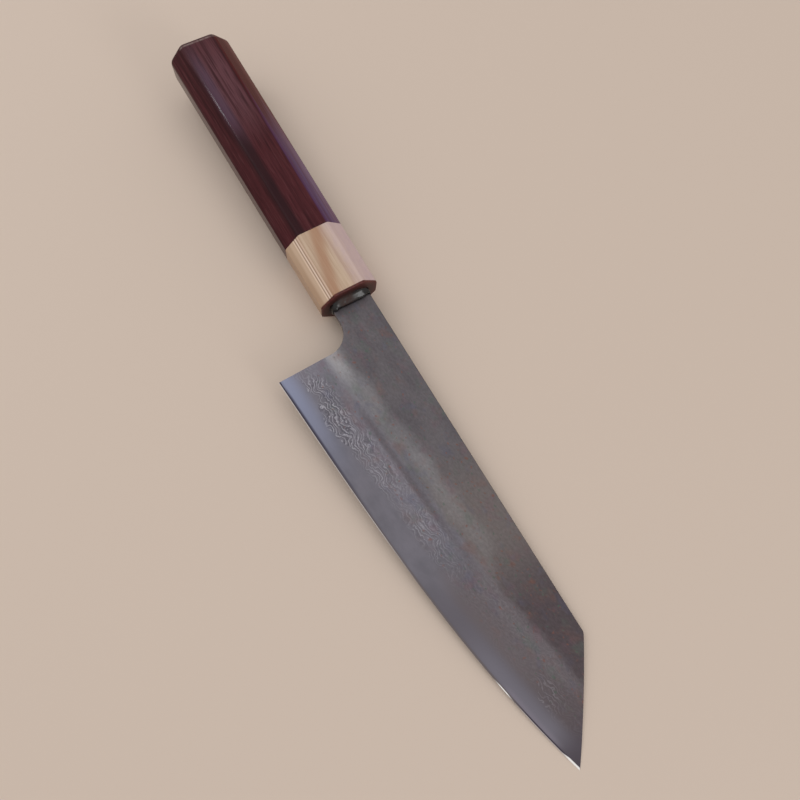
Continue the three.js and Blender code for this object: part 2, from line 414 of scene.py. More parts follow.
def octagon(x, inset=0.0):
    """Eight-sided outline of the tapering handle at x, with rounded ridges, drawn in by an inset."""
    radius = ridge_round(x)
    along = (x - butt_shoulder) / -butt_shoulder
    half_width = lerp(BUTT_WIDTH, FRONT_WIDTH, along) / 2
    half_thickness = lerp(BUTT_THICKNESS, FRONT_THICKNESS, along) / 2
    reach = (half_width, half_thickness)
    slant = (half_width + half_thickness - CORNER_CUT) / math.sqrt(2)
    points = []
    for corner in range(8):
        turns = (math.radians(45 * corner), math.radians(45 * (corner + 1)))
        offsets = [slant if (corner + k) % 2 else reach[((corner + k) // 2) % 2] for k in (0, 1)]
        offsets = [offset - inset - radius for offset in offsets]
        sine = math.sin(turns[1] - turns[0])
        y = (offsets[0] * math.sin(turns[1]) - offsets[1] * math.sin(turns[0])) / sine
        z = (offsets[1] * math.cos(turns[0]) - offsets[0] * math.cos(turns[1])) / sine
        for step in range(RIDGE_STEPS + 1):
            turn = lerp(turns[0], turns[1], step / RIDGE_STEPS)
            points.append((x, y + radius * math.cos(turn), z + radius * math.sin(turn)))
    return points


def oval(x, half_y, half_z, ring, centre=0.0):
    """An oval with one point for each point of a ring, in the same directions."""
    turns = [math.atan2(z / half_z, (y - centre) / half_y) for _, y, z in ring]
    return [(x, centre + half_y * math.cos(turn), half_z * math.sin(turn)) for turn in turns]


def eased_span(back, front, stations=2):
    """Outlines of a handle section between two places, with its end edges eased."""
    inner_back, inner_front = back + JOINT_ROUND, front - JOINT_ROUND
    rings = [octagon(back, JOINT_ROUND)]
    rings += [octagon(lerp(inner_back, inner_front, step / (stations - 1))) for step in range(stations)]
    rings.append(octagon(front, JOINT_ROUND))
    return rings


def make_body(work):
    rounded = []
    for step in range(BUTT_STEPS):
        turn = math.pi / 2 * step / BUTT_STEPS
        inset = BUTT_ROUND * (1 - math.sin(turn))
        rounded.append(octagon(butt_shoulder - BUTT_ROUND * math.cos(turn), inset))
    rings = rounded + eased_span(butt_shoulder, ferrule_back, BODY_STATIONS)[1:]
    bore = BORE_DIAMETER / 2
    rings.append(oval(ferrule_back, bore, bore, rings[-1]))
    rings.append(oval(ferrule_back - BORE_LENGTH, bore, bore, rings[-1]))
    loft(work, rings, cap_start=True, cap_end=True)


def make_ferrule(work):
    rings = eased_span(ferrule_back, cap_back)
    bore = BORE_DIAMETER / 2
    rings.append(oval(cap_back, bore, bore, rings[-1]))
    rings.append(oval(ferrule_back, bore, bore, rings[-1]))
    loft(work, rings, closed=True)


def make_cap(work):
    rings = eased_span(cap_back, 0)
    rings.append(oval(0, mouth_half_width, mouth_half_thickness, rings[-1], mouth_centre))
    rings.append(oval(cap_back, mouth_half_width, mouth_half_thickness, rings[-1], mouth_centre))
    loft(work, rings, closed=True)


# Resin round the neck and the tang

mouth_fill_half_y = mouth_half_width - RESIN_GAP
mouth_fill_half_z = mouth_half_thickness - RESIN_GAP
neck_fill_half_y = NECK_HEIGHT / 2 + RESIN_GAP
neck_fill_half_z = SPINE_THICKNESS / 2 + RESIN_GAP


def rounded_block(x, half_y, half_z, centre=0.0, power=BLOCK_POWER):
    """A ring between an oval and a block, by its power."""
    points = []
    for step in range(RESIN_POINTS):
        turn = 2 * math.pi * step / RESIN_POINTS
        cosine, sine = math.cos(turn), math.sin(turn)
        y = math.copysign(abs(cosine) ** (2 / power), cosine)
        z = math.copysign(abs(sine) ** (2 / power), sine)
        points.append((x, centre + half_y * y, half_z * z))
    return points


def resin_climb(t):
    """How far the resin stands out, t of the way from the plate's rim to the neck."""
    toward_lip = min(t / RESIN_LIP, 1) ** RESIN_LIP_POWER
    rise = toward_lip**2 * (3 - 2 * toward_lip)
    drop = RESIN_DROP * max((t - RESIN_LIP) / (1 - RESIN_LIP), 0) ** 2
    return RESIN_CLIMB * (rise - drop)


def resin_front():
    """Rings of the poured face: level at the plate's rim, more uneven toward the neck."""
    rings = []
    for step in range(RESIN_RINGS):
        t = step / (RESIN_RINGS - 1)
        half_y = lerp(mouth_fill_half_y, neck_fill_half_y, t)
        half_z = lerp(mouth_fill_half_z, neck_fill_half_z, t)
        power = lerp(OVAL_POWER, BLOCK_POWER, t**2)
        level = resin_climb(t) - RESIN_SINK
        ring = []
        for _, y, z in rounded_block(0, half_y, half_z, mouth_centre, power):
            spot = Vector((RESIN_RATE_Y * y, RESIN_RATE_Z * z, RESIN_NOISE_LEVEL))
            uneven = RESIN_ROUGH * t * noise.noise(spot)
            ring.append((level + uneven, y, z))
        rings.append(ring)
    return rings


def make_resin(work):
    slot_half_y = TANG_HEIGHT / 2 + RESIN_WALL - RESIN_CLEARANCE
    slot_half_z = SPINE_THICKNESS / 2 + RESIN_WALL - RESIN_CLEARANCE
    slot_end = tang_end - RESIN_END + RESIN_CLEARANCE
    tang_half_y = TANG_HEIGHT / 2 + RESIN_CLEARANCE
    tang_end_half_y = TANG_END_HEIGHT / 2 + RESIN_CLEARANCE
    tang_half_z = SPINE_THICKNESS / 2 + RESIN_CLEARANCE
    rings = [
        rounded_block(slot_end, slot_half_y, slot_half_z),
        rounded_block(cap_back, slot_half_y, slot_half_z),
        rounded_block(cap_back, mouth_fill_half_y, mouth_fill_half_z, mouth_centre, OVAL_POWER),
        *resin_front(),
        rounded_block(cap_back, neck_fill_half_y, neck_fill_half_z, mouth_centre),
        rounded_block(cap_back, tang_half_y, tang_half_z),
        rounded_block(tang_end - RESIN_CLEARANCE, tang_end_half_y, tang_half_z),
    ]
    loft(work, rings, cap_start=True, cap_end=True)


# Materials

def colour(red, green, blue):
    """A screen colour from 0 to 255 as the linear colour that a shader takes."""
    def linear(value):
        value = value / 255
        return value / 12.92 if value <= 0.04045 else ((value + 0.055) / 1.055) ** 2.4
    return (linear(red), linear(green), linear(blue), 1.0)


class Paint:
    """A material whose node tree is written with short calls. A tone is a screen colour from 0 to 255."""

    def __init__(self, name, **fixed):
        self.material = bpy.data.materials.new(name)
        self.material.use_nodes = True
        self.tree = self.material.node_tree
        self.shader = self.tree.nodes["Principled BSDF"]
        for socket, value in fixed.items():
            self.shader.inputs[socket.replace("_", " ")].default_value = value

    def add(self, kind, **settings):
        node = self.tree.nodes.new(kind)
        for key, value in settings.items():
            setattr(node, key, value)
        return node

    def set(self, socket, value):
        if isinstance(value, bpy.types.NodeSocket):
            self.tree.links.new(value, socket)
        else:
            socket.default_value = value

    def out(self, socket, value):
        self.set(self.shader.inputs[socket], value)

    def math(self, operation, a, b=0.0):
        node = self.add("ShaderNodeMath", operation=operation)
        self.set(node.inputs[0], a)
        self.set(node.inputs[1], b)
        return node.outputs[0]

    def plus(self, first, *others):
        for other in others:
            first = self.math("ADD", first, other)
        return first

    def minus(self, a, b):
        return self.math("SUBTRACT", a, b)

    def times(self, first, *others):
        for other in others:
            first = self.math("MULTIPLY", first, other)
        return first

    def smooth(self, value, low, high):
        """0 below low, 1 above high, eased between. With low above high it falls instead."""
        node = self.add("ShaderNodeMapRange", interpolation_type="SMOOTHSTEP")
        first, second, ends = (low, high, (0, 1)) if low < high else (high, low, (1, 0))
        self.set(node.inputs["Value"], value)
        self.set(node.inputs["From Min"], first)
        self.set(node.inputs["From Max"], second)
        self.set(node.inputs["To Min"], ends[0])
        self.set(node.inputs["To Max"], ends[1])
        return node.outputs["Result"]

    def band(self, value, centre, inner, outer):
        """1 within the inner distance of a centre, 0 beyond the outer one, eased between."""
        return self.smooth(self.math("ABSOLUTE", self.minus(value, centre)), outer, inner)

    def spread(self, value, low, high):
        """Spreads a value from 0 to 1 over a range."""
        node = self.add("ShaderNodeMapRange")
        self.set(node.inputs["Value"], value)
        self.set(node.inputs["To Min"], low)
        self.set(node.inputs["To Max"], high)
        return node.outputs["Result"]

    def grey(self, value, low, high):
        """A grey from black at low to white at high."""
        node = self.add("ShaderNodeValToRGB")
        node.color_ramp.elements[0].position = low
        node.color_ramp.elements[1].position = high
        self.set(node.inputs["Fac"], value)
        return node.outputs["Color"]

    def mix(self, share, a, b, blend="MIX"):
        node = self.add("ShaderNodeMix", data_type="RGBA", blend_type=blend)
        self.set(node.inputs[0], share)
        self.set(node.inputs[6], a)
        self.set(node.inputs[7], b)
        return node.outputs[2]

    def between(self, share, first_tone, second_tone):
        return self.mix(share, colour(*first_tone), colour(*second_tone))

    def tint(self, base, tone, *shares):
        """A base turned toward a tone by the product of the shares."""
        return self.mix(self.times(*shares), base, colour(*tone))

    def noise(self, spot, rates, shift=(0, 0, 0), detail=2.0, roughness=0.5):
        """Soft noise from 0 to 1, with a rate of change for each axis, per millimetre."""
        node = self.add("ShaderNodeTexNoise")
        self.set(node.inputs["Vector"], self.stretched(spot, rates, shift))
        self.set(node.inputs["Scale"], 1.0)
        self.set(node.inputs["Detail"], detail)
        self.set(node.inputs["Roughness"], roughness)
        return node.outputs["Fac"]

    def stretched(self, vector, factors, shift):
        node = self.add("ShaderNodeMapping")
        self.set(node.inputs["Vector"], vector)
        self.set(node.inputs["Scale"], factors)
        self.set(node.inputs["Location"], shift)
        return node.outputs["Vector"]

    def bump(self, height, distance, strength, below=None):
        node = self.add("ShaderNodeBump")
        self.set(node.inputs["Height"], height)
        self.set(node.inputs["Distance"], distance)
        self.set(node.inputs["Strength"], strength)
        if below is not None:
            self.set(node.inputs["Normal"], below)
        return node.outputs["Normal"]

    def handle_mm(self):
        """Place in millimetres from the front of the handle and from its axis."""
        node = self.add("ShaderNodeTexCoord")
        return self.stretched(node.outputs["Object"], [1 / MM] * 3, -handle_front / MM)

    def blade_mm(self):
        """Place on the blade in millimetres: along it from the heel, and above the edge."""
        return self.add("ShaderNodeUVMap", uv_map=UV_NAME).outputs["UV"]

    def axes(self, vector):
        node = self.add("ShaderNodeSeparateXYZ")
        self.set(node.inputs[0], vector)
        return node.outputs[0], node.outputs[1], node.outputs[2]


# Depths of fine relief, in metres
GRIND_RELIEF = 0.000004
CORE_RELIEF = 0.000003
HONED_RELIEF = 0.000002
LAYER_RELIEF = 0.00003
PORE_RELIEF = 0.00003
FERRULE_RELIEF = 0.00004
DOWEL_RELIEF = 0.00005
RESIN_RELIEF = 0.0008

# Layer lines: their distance, swing and ripple, and clusters with a start, an end and a strength
LAYER_SPACING = 1.3
LAYER_SWING = 5.2
LAYER_RIPPLE = 3.8
LAYER_CLUSTERS = ((2, 44, 0.8), (40, 60, 0.42), (62, 88, 0.3), (132, 149, 0.3))

# Soft stains and small freckles on the steel: a shift of the noise that places them, and a tone
STAIN_PATCHES = (
    ((7, 3, 0), (124, 92, 84)),
    ((31, 9, 0), (92, 106, 96)),
    ((3, 41, 0), (92, 94, 116)),
    ((17, 23, 0), (118, 90, 99)),
)
FRECKLES = (
    ((21, 2, 0), (128, 84, 72)),
    ((8, 33, 0), (84, 102, 90)),
)

# Painted highlight lines along the ferrule's left ridge, light ones with dark lines between: a place
# across it, and a tone
FERRULE_RIDGE_HIGHLIGHTS = (
    (-8.7, (226, 204, 184)),
    (-8.3, (138, 104, 82)),
    (-7.9, (238, 220, 204)),
    (-7.5, (142, 108, 86)),
    (-7.1, (214, 190, 170)),
)

# Tones of the bevels, from the heel to the tip: the mottle, and painted reflections
BEVEL_DARK = (109, 106, 113)
BEVEL_LIGHT = (122, 118, 126)
MIDDLE_LIGHT = (130, 125, 132)
HEEL_GREY = (125, 120, 129)
PAST_MIDDLE_LOW = (107, 102, 109)
PAST_MIDDLE_HIGH = (109, 101, 104)
TOWARD_TIP_LOW = (104, 98, 104)
TOWARD_TIP_HIGH = (97, 88, 91)
HEEL_BLUE = (132, 135, 155)
BELLY_LIGHT = (119, 115, 124)
TIP_DARK = (86, 79, 86)
BELLY_RIM = (134, 127, 138)


def bevel_tone(p, spot):
    """Colour of the ground bevels, across core and cladding, and the soft mottle in it; its lighter and
    darker zones are painted reflections.
    """
    along, above, _ = p.axes(spot)
    mottle = p.smooth(p.noise(spot, (0.07, 0.12, 1), detail=4.0, roughness=0.6), 0.3, 0.7)
    tone = p.between(mottle, BEVEL_DARK, BEVEL_LIGHT)
    # Painted reflections: a lighter band mid-bevel, and a greyer heel
    middle_light = p.times(p.band(along, 56, 14, 26), p.band(above, 14.5, 3, 7))
    tone = p.tint(tone, MIDDLE_LIGHT, middle_light, 0.6)
    at_heel = p.smooth(along, 12, 2)
    tone = p.tint(tone, HEEL_GREY, at_heel, 0.5)

    # Painted reflections: duller past the middle and toward the tip
    upper = p.smooth(above, 4, 9)
    past_middle = p.smooth(along, 80, 104)
    tone = p.mix(past_middle, tone, p.between(upper, PAST_MIDDLE_LOW, PAST_MIDDLE_HIGH))
    toward_tip = p.smooth(along, 122, 154)
    tone = p.mix(toward_tip, tone, p.between(upper, TOWARD_TIP_LOW, TOWARD_TIP_HIGH))

    # Painted reflections: lighter near the edge at the heel and the belly, darker at the tip, a light rim
    # by the belly
    heel_light = p.times(p.smooth(above, 9, 2.5), p.smooth(along, 52, 4))
    tone = p.tint(tone, HEEL_BLUE, heel_light)
    belly_light = p.times(p.smooth(above, 9, 2), p.band(along, 138, 12, 34))
    tone = p.tint(tone, BELLY_LIGHT, belly_light)
    at_tip = p.smooth(along, 148, 163)
    tone = p.tint(tone, TIP_DARK, at_tip)
    belly_rim = p.times(p.smooth(above, 3, 0.8), p.band(along, 143, 8, 15))
    tone = p.tint(tone, BELLY_RIM, belly_rim, 0.7)
    return tone, mottle


# Tones of the cladding
FLAT_DARK = (96, 91, 95)
FLAT_LIGHT = (108, 103, 106)
FLAT_BROWN = (114, 106, 105)
FLAT_TIP_REFLECTION = (88, 79, 82)
# Painted highlights near the bevel line, and the painted shade below the long one
HEEL_HIGHLIGHT = (164, 162, 165)
LONG_HIGHLIGHT = (150, 148, 150)
TIP_HIGHLIGHT = (114, 107, 111)
BELOW_HIGHLIGHT_SHADE = (97, 90, 94)
# Painted relief shade beside the layer lines, and the light layer lines
LAYER_SHADE = (76, 72, 79)
LAYER_LIGHT = (172, 169, 176)
RUST = (122, 84, 72)


def flat_tone(p, base, along, height, mottle):
    """Adds the flats above the bevel line, browner in the middle, and darker toward the tip by a painted
    reflection.
    """
    tone = p.between(mottle, FLAT_DARK, FLAT_LIGHT)
    tone = p.tint(tone, FLAT_BROWN, p.smooth(along, 45, 75))
    # Painted reflection: the flats darken toward the tip
    tone = p.tint(tone, FLAT_TIP_REFLECTION, p.smooth(along, 85, 118))
    flat = p.smooth(height, BEVEL_HEIGHT, BEVEL_HEIGHT + 3.5)
    return p.mix(flat, base, tone)


def bevel_line_highlights(p, base, along, above, height, mottle, tip_highlight):
    """Adds soft painted highlights near the bevel line, and the painted shade line below the long one."""
    heel_highlight = p.times(p.band(above, BEVEL_HEIGHT + 2.2, 0.4, 4.2), p.smooth(along, 20, 0))
    base = p.tint(base, HEEL_HIGHLIGHT, heel_highlight)

    rise = p.spread(p.smooth(along, 10, 60), 3.2, 6.5)
    drop = p.times(p.smooth(along, 86, 104), 8.0)
    centre = p.plus(p.minus(rise, drop), BEVEL_HEIGHT)
    long_highlight = p.band(p.minus(height, centre), 0, 0.6, 6.4)
    strength = p.times(p.smooth(along, 120, 60), p.spread(mottle, 0.31, 0.45))
    base = p.tint(base, LONG_HIGHLIGHT, long_highlight, strength)
    base = p.tint(base, TIP_HIGHLIGHT, tip_highlight, 0.55)

    below = p.band(above, BEVEL_HEIGHT - 0.7, 0.2, 2.0)
    reach = p.times(p.smooth(along, 6, 40), p.smooth(along, 110, 60))
    return p.tint(base, BELOW_HIGHLIGHT_SHADE, below, reach, 0.7)


def layer_lines(p, spot, along, above):
    """The light lines of the wavy layers and the painted relief shade beside them, each from 0 to 1."""
    level = p.plus(above, p.times(along, EDGE_RISE / BLADE_LENGTH))
    swing = p.noise(spot, (0.24, 0.12, 1), detail=0.0)
    ripple = p.noise(spot, (0.42, 0.5, 1), (4, 8, 0))
    phase = p.plus(level, p.times(swing, LAYER_SWING), p.times(ripple, LAYER_RIPPLE))
    turn = p.math("FRACT", p.math("DIVIDE", phase, LAYER_SPACING))
    light = p.times(p.smooth(turn, 0.54, 0.74), p.smooth(turn, 1.0, 0.82))
    # Painted relief shade just below each light line
    dark = p.times(p.smooth(turn, 0.16, 0.36), p.smooth(turn, 0.6, 0.46))
    brightness = p.smooth(p.noise(spot, (0.3, 0.5, 1), (9, 3, 0)), 0.36, 0.62)
    return p.times(light, p.spread(brightness, 0.45, 1.0)), dark


def layer_zone(p, spot, along, above):
    """Where the layer lines show: in a band above the core, in clusters and patches."""
    lift = p.times(p.smooth(along, 10, 60), p.smooth(along, 130, 105), 4.0)
    lifted = p.minus(above, lift)
    zone = p.times(p.smooth(lifted, 4, 6), p.smooth(lifted, 17, 11))
    clusters = p.spread(p.smooth(along, 110, 80), 0.05, 0.2)
    for start, end, strength in LAYER_CLUSTERS:
        within = p.times(p.smooth(along, start, start + 6), p.smooth(along, end, end - 10))
        clusters = p.plus(p.times(within, strength), clusters)
    patches = p.smooth(p.noise(spot, (0.12, 0.2, 1), (1, 2, 0)), 0.24, 0.5)
    return p.times(zone, clusters, patches)


def stains(p, base, spot, along, above):
    """Adds soft stains, rust toward the tip, small freckles and the fine grain of the etch."""
    clear_of_core = p.smooth(above, 7, 14)
    for shift, tone in STAIN_PATCHES:
        patches = p.smooth(p.noise(spot, (0.11, 0.15, 1), shift, roughness=0.6), 0.54, 0.74)
        base = p.tint(base, tone, patches, clear_of_core, 0.3)
    rust_zone = p.times(p.smooth(along, 60, 100), p.smooth(above, 14, 24))
    rust = p.smooth(p.noise(spot, (0.2, 0.24, 1), (13, 5, 0)), 0.6, 0.76)
    base = p.tint(base, RUST, rust, rust_zone, 0.5)
    for shift, tone in FRECKLES:
        freckles = p.smooth(p.noise(spot, (0.5, 0.6, 1), shift, detail=1.0), 0.66, 0.76)
        base = p.tint(base, tone, freckles, clear_of_core, 0.5)
    etch = p.noise(spot, (0.7, 1.1, 1), detail=3.0, roughness=0.65)
    return p.mix(p.times(clear_of_core, 0.18), base, p.grey(etch, 0.25, 0.75), "SOFT_LIGHT")


def layered_steel():
    """Etched cladding: wavy layer lines above the core with painted relief shade, soft painted highlights
    near the bevel line, browner flats with a painted darker reflection toward the tip, stains.
    """
    p = Paint("layered_steel", Metallic=1.0)
    spot = p.blade_mm()
    along, above, _ = p.axes(spot)
    base, mottle = bevel_tone(p, spot)
    drift = p.noise(spot, (0.09, 0.14, 1), (5, 2, 0), detail=3.0, roughness=0.6)
    height = p.plus(above, p.times(p.minus(drift, 0.5), 6.0))
    base = flat_tone(p, base, along, height, mottle)
    # Painted highlight along the bevel line toward the tip
    tip_highlight = p.times(p.band(height, BEVEL_HEIGHT - 1.0, 1, 4.5), p.band(along, 120, 16, 32))
    base = bevel_line_highlights(p, base, along, above, height, mottle, tip_highlight)

    light, dark = layer_lines(p, spot, along, above)
    zone = p.plus(layer_zone(p, spot, along, above), p.times(tip_highlight, 0.11))
    base = p.tint(base, LAYER_SHADE, dark, zone, 0.55)
    base = p.tint(base, LAYER_LIGHT, light, zone, 0.8)
    p.out("Base Color", stains(p, base, spot, along, above))

    scratch = p.noise(spot, (0.12, 7, 1), detail=3.0, roughness=0.6)
    p.out("Roughness", p.plus(p.spread(mottle, 0.33, 0.39), p.times(scratch, 0.06)))
    normal = p.bump(scratch, GRIND_RELIEF, 0.5)
    p.out("Normal", p.bump(p.times(light, zone), LAYER_RELIEF, 0.6, normal))
    return p.material


# Tones of the core and of the honed edge, with painted shade, a painted highlight and painted glints
CORE_SHADE = (60, 58, 72)
HONED_DARK = (178, 170, 168)
HONED_LIGHT = (208, 200, 196)
HONED_DULL = (122, 113, 112)
HONED_TIP = (196, 186, 184)
GLINT = (250, 247, 244)
INNER_HEEL = (62, 58, 68)
INNER_MIDDLE = (108, 100, 101)
INNER_TIP = (72, 66, 74)


def core_steel():
    """Fine ground core, with a painted shade line above the edge."""
    p = Paint("core_steel", Metallic=1.0)
    spot = p.blade_mm()
    along, above, _ = p.axes(spot)
    base, _ = bevel_tone(p, spot)
    past_heel = p.spread(p.smooth(along, 0, 9), 0.3, 1.0)
    near_heel = p.spread(p.smooth(along, 70, 26), 0.1, 0.85)
    # Painted shade: a darker line just above the edge
    near_edge = p.smooth(above, 1.6, 0.7)
    p.out("Base Color", p.tint(base, CORE_SHADE, past_heel, near_heel, near_edge))
    scratch = p.noise(spot, (0.1, 9, 1), detail=3.0, roughness=0.6)
    p.out("Roughness", p.spread(scratch, 0.26, 0.38))
    p.out("Normal", p.bump(scratch, CORE_RELIEF, 0.5))
    return p.material


def edge_steel():
    """The honed bevel, bright where it runs out to the edge, partly its paler steel and partly a painted
    highlight, with painted glints at the belly and at the tip, and painted shade above.
    """
    p = Paint("edge_steel", Metallic=1.0)
    spot = p.blade_mm()
    along, above, _ = p.axes(spot)
    fine = p.noise(spot, (0.6, 2, 1))
    toward_tip = p.smooth(along, 133, 144)
    belly_glint = p.band(along, 131.3, 1, 5)
    tip_glint = p.smooth(along, 157, 160.5)

    # Painted highlight along the edge, with painted glints at the belly and the tip
    bright = p.between(fine, HONED_DARK, HONED_LIGHT)
    bright = p.tint(bright, HONED_DULL, p.smooth(along, 62, 92))
    bright = p.tint(bright, HONED_TIP, toward_tip)
    bright = p.tint(bright, GLINT, p.math("MAXIMUM", belly_glint, tip_glint))
    # Painted shade on the honed bevel above the bright line
    dark = p.between(p.smooth(along, 10, 80), INNER_HEEL, INNER_MIDDLE)
    dark = p.tint(dark, INNER_TIP, toward_tip)
    glint_reach = p.plus(p.times(belly_glint, 0.12), p.times(tip_glint, 0.45))
    inner = p.smooth(p.minus(above, glint_reach), 0.1, 0.3)
    p.out("Base Color", p.mix(inner, bright, dark))
    p.out("Roughness", p.spread(fine, 0.26, 0.36))
    p.out("Normal", p.bump(fine, HONED_RELIEF, 0.3))
    return p.material


# Tones of the rosewood
ROSEWOOD_DARK = (60, 26, 30)
ROSEWOOD_RED = (74, 34, 38)
TOP_SHEEN_NEAR_BUTT = (93, 60, 66)
STRIPE_DARK = (42, 15, 19)
FLECK_DARK = (36, 14, 17)
FLECK_PALE = (104, 64, 66)
ROSEWOOD_PORE = (30, 10, 12)
BLUISH_SHEEN = (74, 63, 82)
STRIP_DARK = (40, 16, 20)
BLACK_STREAK = (34, 20, 24)
THIN_LINE = (40, 18, 22)
CHAMFER_RED = (72, 15, 15)
CHAMFER_BORDER = (104, 64, 60)
VIOLET_REFLECTION_DEEP = (85, 66, 103)
VIOLET_REFLECTION_PALE = (115, 95, 120)
BUTT_END_DARK = (34, 18, 18)
RIM_HIGHLIGHT = (150, 134, 128)


def upper_figure(p, base, x, y, bands):
    """Adds a painted bluish sheen and a dark strip near the butt, the black streak, and a thin dark line.
    """
    wavy = p.plus(y, bands)
    # Painted sheen: a bluish reflection near the left ridge, toward the butt
    sheen = p.times(p.band(x, -97, 8, 32), p.band(wavy, -4.6, 0.4, 3.4))
    base = p.tint(base, BLUISH_SHEEN, sheen, 0.5)
    strip = p.times(p.band(x, -96, 14, 30), p.band(y, -8.0, 0.4, 1.6))
    base = p.tint(base, STRIP_DARK, strip, 0.35)
    black = p.times(p.band(wavy, -4.9, 0.9, 3.2), p.band(x, -50, 20, 36))
    base = p.tint(base, BLACK_STREAK, black, 0.75)
    thin = p.band(y, 6.3, 0.2, 0.7)
    return p.tint(base, THIN_LINE, thin, 0.6)


def chamfer_figure(p, base, spot):
    """Adds the upper right chamfer: clear red, pale at its border, and toward the ferrule a veined violet
    that is a painted bluish reflection.
    """
    x, y, z = p.axes(spot)
    veins = p.minus(p.noise(spot, (0.025, 1.1, 1.1), (3, 7, 1), detail=3.0, roughness=0.6), 0.5)
    reach = p.plus(y, z, p.times(x, CHAMFER_TAPER), p.times(veins, 1.2))
    chamfer = p.smooth(reach, CHAMFER_REACH - 0.9, CHAMFER_REACH)
    base = p.tint(base, CHAMFER_RED, chamfer, 0.85)
    outer = p.smooth(y, 9.8, 12)
    base = p.tint(base, CHAMFER_BORDER, chamfer, outer, 0.6)
    # Painted reflection: bluish daylight in the chamfer, as a veined violet toward the ferrule
    veined_x = p.plus(x, p.times(veins, 90))
    toward_ferrule = p.smooth(veined_x, -98, -58)
    strength = p.spread(p.smooth(veins, 0.14, -0.14), 0.5, 1.0)
    violet_reflection = p.between(p.smooth(y, 8, 10.8), VIOLET_REFLECTION_DEEP, VIOLET_REFLECTION_PALE)
    return p.mix(p.times(chamfer, toward_ferrule, strength, 0.9), base, violet_reflection)


def butt_figure(p, base, x, z, flecks):
    """Adds the darker butt end, and a painted highlight along the top edge of the butt."""
    butt_end = p.smooth(x, butt_shoulder - 0.4, butt_shoulder - 1.2)
    base = p.tint(base, BUTT_END_DARK, butt_end, 0.5)
    # Painted highlight along the rounded top edge of the butt
    rim_highlight = p.times(p.band(x, butt_shoulder, 0.2, 0.6), p.smooth(z, 8.8, 9.8))
    rim_highlight_strength = p.spread(p.smooth(flecks, 0.35, 0.65), 0.15, 0.5)
    return p.tint(base, RIM_HIGHLIGHT, rim_highlight, rim_highlight_strength)


def rosewood():
    """Dark red-brown oiled wood with straight grain, flecks and pores, paler toward the butt by a painted
    sheen.
    """
    p = Paint("rosewood", Specular_IOR_Level=0.08)
    spot = p.handle_mm()
    x, y, z = p.axes(spot)
    bands = p.noise(spot, (0.006, 0.22, 0.22))
    stripes = p.noise(spot, (0.015, 0.6, 0.6), (0, 5, 9), detail=2.5, roughness=0.6)
    flecks = p.noise(spot, (0.09, 1.7, 1.7), (2, 6, 3), roughness=0.6)
    pores = p.smooth(p.noise(spot, (0.05, 4, 4), roughness=0.6), 0.56, 0.7)

    base = p.between(p.smooth(bands, 0.35, 0.65), ROSEWOOD_DARK, ROSEWOOD_RED)
    # Painted sheen: lighter toward the butt, across the middle of the upper and lower faces
    sheen_near_butt = p.times(p.smooth(x, -66, -95), p.spread(p.smooth(x, -124, -108), 0.5, 1.0))
    base = p.tint(base, TOP_SHEEN_NEAR_BUTT, sheen_near_butt, p.band(y, 0, 4, 8), 0.85)
    base = p.tint(base, STRIPE_DARK, p.smooth(stripes, 0.48, 0.7), 0.6)
    base = p.tint(base, FLECK_DARK, p.smooth(flecks, 0.52, 0.68), 0.42)
    base = p.tint(base, FLECK_PALE, p.smooth(flecks, 0.46, 0.32), 0.22)
    base = p.tint(base, ROSEWOOD_PORE, pores, 0.4)
    base = upper_figure(p, base, x, y, bands)
    base = chamfer_figure(p, base, spot)
    p.out("Base Color", butt_figure(p, base, x, z, flecks))
    p.out("Roughness", p.plus(p.spread(stripes, 0.09, 0.11), p.times(pores, 0.05)))
    p.out("Normal", p.bump(p.minus(1.0, pores), PORE_RELIEF, 0.05))
    return p.material


# Tones of the ferrule
FERRULE_DARK = (168, 139, 115)
FERRULE_LIGHT = (188, 164, 140)
FERRULE_GRAIN = (146, 112, 88)
EDGE_SIDE_TAN = (172, 142, 118)
LOWER_BORDER_TAN = (156, 124, 96)
LIGHT_STRIP_TAN = (200, 174, 150)
BROWN_STREAK = (156, 114, 84)
SPINE_SIDE_PAINTED_LIGHT = (191, 168, 172)
MOTTLE_PINK = (176, 152, 160)


